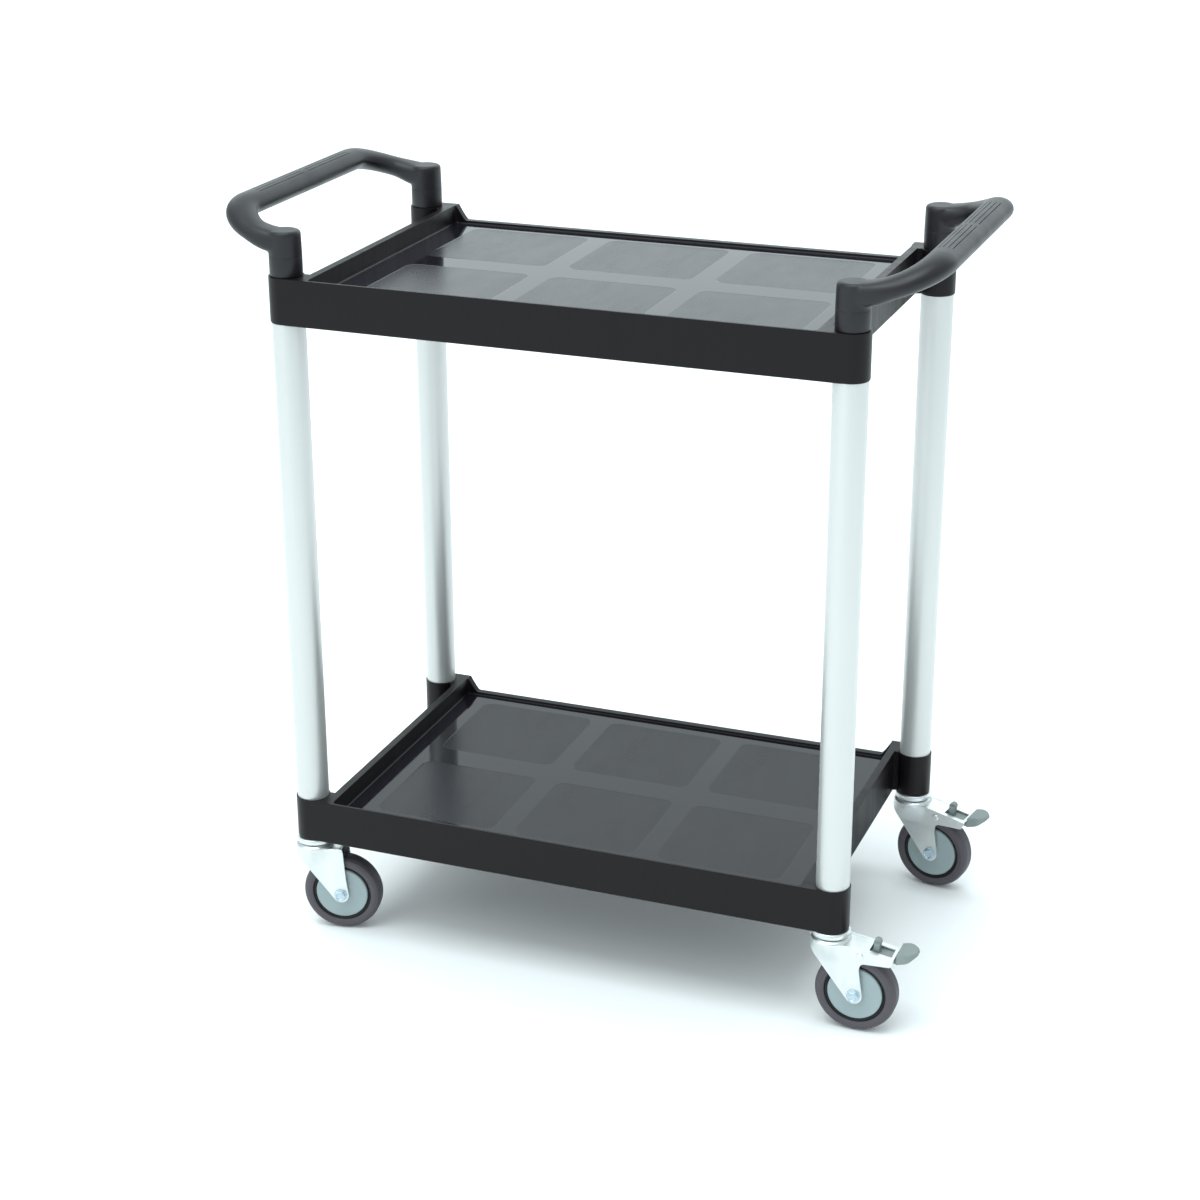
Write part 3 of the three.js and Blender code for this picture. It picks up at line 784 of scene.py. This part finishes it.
def handle(name, node, side):
    """The loop with the sockets' tops in one skin, and under it a collar and spigot for each post."""
    spots = [Matrix.Translation((side * HALF_X, y, 0)) for y in (-HALF_Y, HALF_Y)]
    cap_foot, cap_top = SOCKET_RING_Z - 6, SOCKET_TOP + 0.2
    cap = rounded([
        (0, cap_foot), (SOCKET_R + 0.2, cap_foot), (SOCKET_R - 0.6, cap_top, 4), (0, cap_top),
    ], 5, closed=False)
    body = smoothed(fused(grip_loop(side), *[moved(turned(cap), spot) for spot in spots]), 1.2, 12)
    below = block((side * HALF_X - 60, side * HALF_X + 60), (-260, 260), (SOCKET_RING_Z - 80, SOCKET_RING_Z))
    body = cut(body, below, grip_grooves(side))
    foot = TRAY_UP_Z + TRAY_HEIGHT + GAP
    collar = rounded([
        (0, SPIGOT_BOTTOM), (PLUG_R - 1.7, SPIGOT_BOTTOM, 1), (PLUG_R, SPIGOT_BOTTOM + 4, 1), (PLUG_R, foot),
        (SOCKET_R, foot, 0.8), (SOCKET_R, SOCKET_RING_Z - 0.2, 0.5), (SOCKET_R - 1.2, SOCKET_RING_Z + 0.5),
        (0, SOCKET_RING_Z + 0.5),
    ], 3, closed=False)
    collars = [moved(turned(collar, 96), spot) for spot in spots]
    piece(name, together(body, *collars), HANDLE_LOOK, "frame", [node])


# ---- Casters ----
def ring_of_balls():
    """The swivel bearing: balls in a thin cage."""
    count, pitch_r, ball_r = 16, 17.4, 2.4
    z = (FORK_CROWN + CUP_ROOF) / 2
    balls = []
    for k in range(count):
        ball = bmesh.new()
        bmesh.ops.create_icosphere(ball, subdivisions=2, radius=ball_r)
        a = 2 * math.pi * k / count
        balls.append(moved(ball, Matrix.Translation((pitch_r * math.cos(a), pitch_r * math.sin(a), z))))
    cage = rounded([(15, z - 0.6), (19.8, z - 0.6), (19.8, z + 0.6), (15, z + 0.6)], 2)
    return together(turned(cage, 48, closed=True), *balls)


def bearing_cup():
    profile = rounded([
        (STEM_BORE_R, CUP_TOP), (22.8, CUP_TOP, 1.4), (23.5, 124.5, 1.5), (23.5, CUP_BOTTOM, 0.5),
        (21.4, CUP_BOTTOM, 0.4), (21.0, CUP_ROOF, 1), (STEM_BORE_R, CUP_ROOF),
    ], 4)
    return turned(profile, 80, closed=True)


def stem():
    """The kingpin: a riveted head under the fork, and a shank up into the plug in the post."""
    profile = rounded([
        (0, 107.6), (7, 107.9, 2), (10.5, 110.4, 1), (10.5, 111.7),
        (STEM_R, 111.7), (STEM_R, 163.5, 0.5), (4.6, 165, 0.4), (0, 165),
    ], 3, closed=False)
    return turned(profile, 40)


def leg_face(braked):
    """Outline in X and Z of one side of the fork."""
    toe = arc(TRAIL, WHEEL_R, 10.4, 215, 368, 14)
    rear = [(-24.5, FORK_CAP), (-23.5, 109.5, 6), (-7, 86, 12), (19.6, 47, 3)]
    if braked:
        front = [(39.4, 84, 3), (40.6, 94.4, 8), (76.5, 96.2, 2), (80.6, 105.6, 1.2), (33, FORK_CAP - 1, 10)]
    else:
        front = [(41.5, 72, 6), (39.0, 108, 3), (36.4, FORK_CAP, 2)]
    front = [(44.3, 53), *front, (20, FORK_CAP)]
    return rounded(rear, 5, closed=False)[:-1] + toe + rounded(front, 5, closed=False)[1:]


def head_half_width(x):
    """Half the fork's width at its top: the round head behind the swivel axis, a taper ahead of it."""
    if x < 0:
        return math.sqrt(max(0.0, HEAD_R**2 - x**2))
    return max(LEG_OUT, HEAD_R - x * HEAD_TAPER)


def bulged(bm):
    """Carries the flat cheeks out to the round head: near the top they follow its outline in plan."""
    for vert in bm.verts:
        x, y, z = vert.co
        share = smoothstep(z, 88, FORK_CAP)
        vert.co.y = math.copysign(abs(y) + (head_half_width(x) - LEG_OUT) * share, y)
    return bm


def diced(bm, xs, zs):
    """Cuts a body by planes across X and Z, so that it can be bent smoothly."""
    for axis, places in (((1, 0, 0), xs), ((0, 0, 1), zs)):
        for place in places:
            everything = bm.verts[:] + bm.edges[:] + bm.faces[:]
            bmesh.ops.bisect_plane(bm, geom=everything, plane_co=Vector(axis) * place, plane_no=axis)
    return bm


def fork(braked):
    """A pressed fork: two cheeks that swell into a round head, and the roof that joins them ahead of it."""
    outline = leg_face(braked)
    xs = [k * 3 for k in range(-8, 15)]
    zs = [86 + 2 * k for k in range(15)]
    cheeks = []
    for low in (-LEG_OUT, LEG_IN):
        cheeks.append(bulged(diced(side_prism(outline, low, low + LEG_SHEET), xs, zs)))
    head = turned(rounded([
        (STEM_BORE_R, FORK_CROWN), (21, FORK_CROWN, 2), (HEAD_R, FORK_CROWN - 3, 3.5),
        (HEAD_R, FORK_CAP - 2.6, 0.4), (HEAD_R - 2.4, FORK_CAP - 2.6), (HEAD_R - 3, FORK_CROWN - 4, 1),
        (STEM_BORE_R, FORK_CROWN - 4),
    ], 4), 72, closed=True)
    return together(*cheeks, head, fork_roof(braked))


def fork_roof(braked):
    """The strip that joins the cheeks ahead of the head. A braked fork's runs down to the pedal."""
    start, steps = 9, 24
    end, drop = (80.5, 9.94) if braked else (36.4, 0)
    bm = bmesh.new()
    rows = []
    for k in range(steps + 1):
        x = start + (end - start) * k / steps
        z = FORK_CAP - drop * smoothstep(x, 14, end + 14)
        rows.append([bm.verts.new((x, y, z + lift)) for y, lift in roof_section(head_half_width(x))])
    for low, high in zip(rows, rows[1:]):
        for k in range(len(low) - 1):
            bm.faces.new((low[k], low[k + 1], high[k + 1], high[k]))
    bmesh.ops.recalc_face_normals(bm, faces=bm.faces)
    for face in bm.faces:
        if face.normal.z < 0:
            face.normal_flip()
    bm = with_modifier(bm, "SOLIDIFY", thickness=2.2, offset=-1, use_even_offset=False)
    if braked:
        window = block((50, 76.5), (-9.5, 9.5), (90, 130))
        bm = cut(bm, window)
    return eased(bm, 0.5, 2, 60)


def roof_section(half):
    """Across the roof: flat, then rounded down over each cheek."""
    bend, steps = 3.2, 6
    points = [(-half, -bend)]
    for k in range(1, steps + 1):
        a = math.pi / 2 * k / steps
        points.append((-half + bend - bend * math.cos(a), -bend + bend * math.sin(a)))
    mirrored = [(-y, z) for y, z in reversed(points)]
    return points + [(-half / 2, 0.0), (0.0, 0.0), (half / 2, 0.0)] + mirrored


def hexagon(radius, low, high, inside, bored=False):
    """A bolt head or nut about Z: six flats with their corners turned down towards high.

    inside is the profile from the top face inwards, as (radius, z). A bored one runs on down to its foot."""
    flat = radius * math.cos(math.pi / 6)
    count, slope = 48, 0.55
    turns = [2 * math.pi * k / count for k in range(count)]
    reach = [flat / math.cos(a % (math.pi / 3) - math.pi / 6) for a in turns]
    rings = [
        [(r, low) for r in reach],
        [(r, high - 0.2 - slope * (r - flat)) for r in reach],
        [(flat - 0.15, high)] * count,
        *[[spot] * count for spot in inside],
    ]
    bm = bmesh.new()
    loops = []
    for ring in rings:
        loops.append([bm.verts.new((r * math.cos(a), r * math.sin(a), z)) for a, (r, z) in zip(turns, ring)])
    if not bored:
        bm.faces.new(loops[0])
        bm.faces.new(loops[-1])
    following = loops[1:] + loops[:1] if bored else loops[1:]
    for first, second in zip(loops, following):
        for k in range(count):
            bm.faces.new((first[k - 1], first[k], second[k], second[k - 1]))
    bmesh.ops.recalc_face_normals(bm, faces=bm.faces)
    return bm


def axle_bolt():
    """Drawn about the axle: +Z here is the near side, where the head is."""
    face, top, end = LEG_OUT + GAP, LEG_OUT + 5.3, -LEG_OUT - 8.5
    head = hexagon(AXLE_HEAD_R, LEG_OUT + 1.3, top, [(5.0, top), (3.9, top - 1.0)])
    washer = rounded([(0, face), (8.2, face), (8.2, face + 1.1, 0.4), (0, face + 1.1)], 2, closed=False)
    tip_r, shoulder = AXLE_R - 0.8, LEG_OUT + 0.8
    shank = turned([(0, end), (tip_r, end), (AXLE_R, end + 0.8), (AXLE_R, shoulder), (0, shoulder)], 32)
    return together(head, turned(washer, 48), shank)


def axle_nut():
    top, chamfer = AXLE_NUT_HEIGHT, 0.6
    inside = [(AXLE_BORE_R + chamfer, top), (AXLE_BORE_R, top - chamfer), (AXLE_BORE_R, 0)]
    nut = hexagon(AXLE_HEAD_R, 0, top, inside, bored=True)
    return moved(nut, Matrix.Translation((0, 0, -LEG_OUT - GAP - top)))


def axle_sleeve():
    half = LEG_IN - GAP
    profile = rounded([
        (AXLE_BORE_R, -half), (SLEEVE_R, -half, 0.4), (SLEEVE_R, half, 0.4), (AXLE_BORE_R, half),
    ], 2)
    return turned(profile, 40, closed=True)


def both_sides(points, steps):
    """A closed section from the outline of its near half, which is given from the inside outwards."""
    half = [tuple(point) for point in rounded(points, steps, closed=False)]
    return half + [(r, -z) for r, z in reversed(half) if z > 0]


def wheel_cover():
    """The hub: a dished grey cover on each side, from bore to rim."""
    half = [
        (SLEEVE_R + GAP, 13.3), (10, 13.3, 0.6), (11.5, 11.9, 1.5), (24, 11.2, 3),
        (32.6, 11.5, 1), (33.5, 10.4, 0.5), (33.5, 7.6),
    ]
    return turned(both_sides(half, 4), 96, closed=True)


def wheel_rim():
    """The recessed channel round the covers, which holds the tyre. The channel is real; its near-black colour
    is painted shade for the gap between the covers and the tyre.
    """
    half = [(33.6, 7.4), (34.2, 9.0, 0.5), (36.6, 9.6, 0.8), (37.6, 11.2)]
    return turned(both_sides(half, 3), 96, closed=True)


def tyre():
    """Rounded tread, a shallow shoulder and a lip that sits over the rim."""
    half = [
        (37.8, 11.4), (38.8, 12.3, 0.8), (43.5, TYRE_HALF, 2.5), (47.6, 11.2, 3.5),
        (WHEEL_R, 6.4, 5), (WHEEL_R, 0),
    ]
    return turned(both_sides(half, 6), 128, closed=True)


# ---- Foot brake ----
def pedal():
    """A flat tongue that steps up to a rounded toe plate, and above the tongue the release tab."""
    side = rounded([
        (47, 105.5, 0.6), (47, 101.5, 0.6), (82.5, 100.4, 1), (97, 104.6, 18), (107.6, 112.4, 1.8),
        (104.5, 116.2, 2.2), (92, 116, 20), (83.5, 113.8, 1), (82.3, 103, 0.4), (62, 105.5, 1),
    ], 5)
    toe, tongue = 16, LEG_IN - 1
    plan = rounded([
        (40, -tongue), (83, -tongue), (83, -toe, 1.5), (98, -toe + 0.5, 12), (108, -3.5, 9), (108, 3.5, 9),
        (98, toe - 0.5, 12), (83, toe, 1.5), (83, tongue), (40, tongue),
    ], 6)
    body = boolean(side_prism(side, -toe - 2, toe + 2), prism(plan, 90, 125), "INTERSECT")
    body = smoothed(body, 0.7, 5)
    tab = turned(rounded([(0, -6), (4.6, -6, 0.8), (4.6, 2, 0.8), (0, 2)], 3, closed=False), 40)
    neck = eased(block((53.5, 60.5), (-6, 6), (104, 118)), 0.8, 2, 40)
    return together(body, moved(tab, across(57, 118)), neck)


def brake_lever():
    """The bent steel shoe under the pedal, bored for its rivet."""
    side = rounded([
        (34, 102.8, 1), (34, 109.6, 5), (43, 109.8, 3), (46, 107, 1), (46.6, 101.2, 1), (74, 98.8, 0.7),
        (73, 96.8, 0.7), (60.5, 97, 4), (47, 99.9, 6),
    ], 4)
    blade = side_prism(side, -9, 9)
    bore_r = RIVET_R + GAP
    hole = moved(turned([(0, -12), (bore_r, -12), (bore_r, 12), (0, 12)], 32), across(*BRAKE_PIVOT))
    return eased(cut(blade, hole), 0.5, 2, 40)


def brake_pin():
    seat = LEG_OUT + GAP
    tip = LEG_OUT + 1.5
    profile = rounded([
        (0, -tip), (3.6, -tip, 0.9), (4.5, -seat), (RIVET_R, -seat),
        (RIVET_R, seat), (4.5, seat), (3.6, tip, 0.9), (0, tip),
    ], 3, closed=False)
    return moved(turned(profile, 40), across(*BRAKE_PIVOT))


def stem_plug():
    foot, top = POST_BOTTOM, POST_BOTTOM + PLUG_LENGTH
    profile = rounded([(STEM_BORE_R, foot), (PLUG_R, foot, 1), (PLUG_R, top, 1), (STEM_BORE_R, top)], 2)
    return turned(profile, 48, closed=True)


def caster(corner):
    fixed, turning, rolling = "frame", "swivel_" + corner.name, "wheel_" + corner.name
    stand, axle = corner.caster(), corner.axle()

    def add(name, node, bm, place, look, body):
        piece(name + "_" + corner.name, moved(bm, place), look, body, [node + "_" + corner.name])

    add("plug", "stem_plug", stem_plug(), corner.post(), INNER_BLACK, fixed)
    add("stem", "caster_stem", stem(), stand, ZINC, fixed)
    add("upper_race", "bearing_cup", bearing_cup(), stand, ZINC, fixed)
    add("ball_race", "ball_ring", ring_of_balls(), stand, ZINC, turning)
    add("pressed_fork", "fork", fork(corner.braked), stand, ZINC, turning)
    add("axle_screw", "axle_bolt", axle_bolt(), axle, BOLT_ZINC, turning)
    add("lock_nut", "axle_nut", axle_nut(), axle, BOLT_ZINC, turning)
    add("axle_tube", "axle_sleeve", axle_sleeve(), axle, ZINC, turning)
    add("rubber_tyre", "tyre", tyre(), axle, TYRE, rolling)
    add("hub_cover", "wheel_hub", wheel_cover(), axle, HUB_GREY, rolling)
    # The rim's near-black colour is painted shade of the gap between cover and tyre.
    piece("hub_rim_" + corner.name, moved(wheel_rim(), axle), RIM_PAINTED_SHADE, rolling, [])
    if corner.braked:
        levering = "brake_" + corner.name
        add("foot_pedal", "brake_pedal", pedal(), stand, PEDAL_GREY, levering)
        add("brake_shoe", "brake_lever", brake_lever(), stand, ZINC, levering)
        add("pivot_rivet", "brake_pin", brake_pin(), stand, ZINC, turning)


tray("lower_tray_moulding", "tray_lower", TRAY_LOW_Z, upper=False)
tray("upper_tray_moulding", "tray_upper", TRAY_UP_Z, upper=True)
handle("push_handle_left", "handle_left", -1)
handle("push_handle_right", "handle_right", 1)
for station in CORNERS:
    post(station)
    caster(station)


# ---- Studio ----
DAYLIGHT = (0.87, 0.975, 1.0)


def studio_floor():
    mesh = bpy.data.meshes.new("studio_floor")
    reach = 150  # metres, as far as the horizon
    corners = [(-reach, -reach, 0), (reach, -reach, 0), (reach, reach, 0), (-reach, reach, 0)]
    mesh.from_pydata(corners, [], [(0, 1, 2, 3)])
    thing = bpy.data.objects.new("studio_floor", mesh)
    bpy.context.scene.collection.objects.link(thing)
    look = Look("pale_floor", Roughness=0.6, Specular_IOR_Level=0.2)
    look.colour(look.mixed(look.noise(1.5, 2), (0.92, 0.92, 0.92), (0.94, 0.94, 0.94)))
    mesh.materials.append(look.material)


def lamp(name, kind, power, place, aim=(0, 0, 0.5)):
    data = bpy.data.lights.new(name, kind)
    data.energy = power
    data.color = DAYLIGHT
    thing = bpy.data.objects.new(name, data)
    bpy.context.scene.collection.objects.link(thing)
    thing.location = place
    thing.rotation_euler = (Vector(aim) - Vector(place)).to_track_quat("-Z", "Y").to_euler()
    return data


def studio():
    studio_floor()
    world = bpy.data.worlds.new("studio_air")
    world.use_nodes = True
    air = world.node_tree.nodes["Background"]
    air.inputs["Color"].default_value = (*DAYLIGHT, 1)
    air.inputs["Strength"].default_value = 0.74
    bpy.context.scene.world = world
    lamp("overhead", "SUN", 2.15, (-0.2, -0.45, 4)).angle = math.radians(46)
    lamp("front_left", "SUN", 1.0, (-1.6, -3.0, 3.0)).angle = math.radians(60)
    backdrop = lamp("backdrop", "AREA", 35.5, (-0.5, 2.2, 2.05), (-0.3, 0, 1.2))
    backdrop.shape = "RECTANGLE"
    backdrop.size, backdrop.size_y = 5.0, 2.0


def camera():
    """The view: from the front right and above, with a long lens."""
    place = Vector((1.0025, -2.6601, 1.5587))
    azimuth, elevation, roll = math.radians(21.14), math.radians(21.8), math.radians(-0.22)
    level = Vector((math.cos(azimuth), math.sin(azimuth), 0))
    outwards = Vector((math.sin(azimuth), -math.cos(azimuth), 0))
    back = outwards * math.cos(elevation) + Vector((0, 0, math.sin(elevation)))
    rise = back.cross(level)
    right = math.cos(roll) * level + math.sin(roll) * rise
    above = -math.sin(roll) * level + math.cos(roll) * rise
    data = bpy.data.cameras.new("view")
    data.sensor_width = 36
    data.lens = 73.48
    eye = bpy.data.objects.new("view", data)
    axes = Matrix((right, above, back)).transposed().to_4x4()
    eye.matrix_world = Matrix.Translation(place) @ axes
    bpy.context.scene.collection.objects.link(eye)
    bpy.context.scene.camera = eye


studio()
camera()
bpy.context.scene.view_settings.view_transform = "Standard"
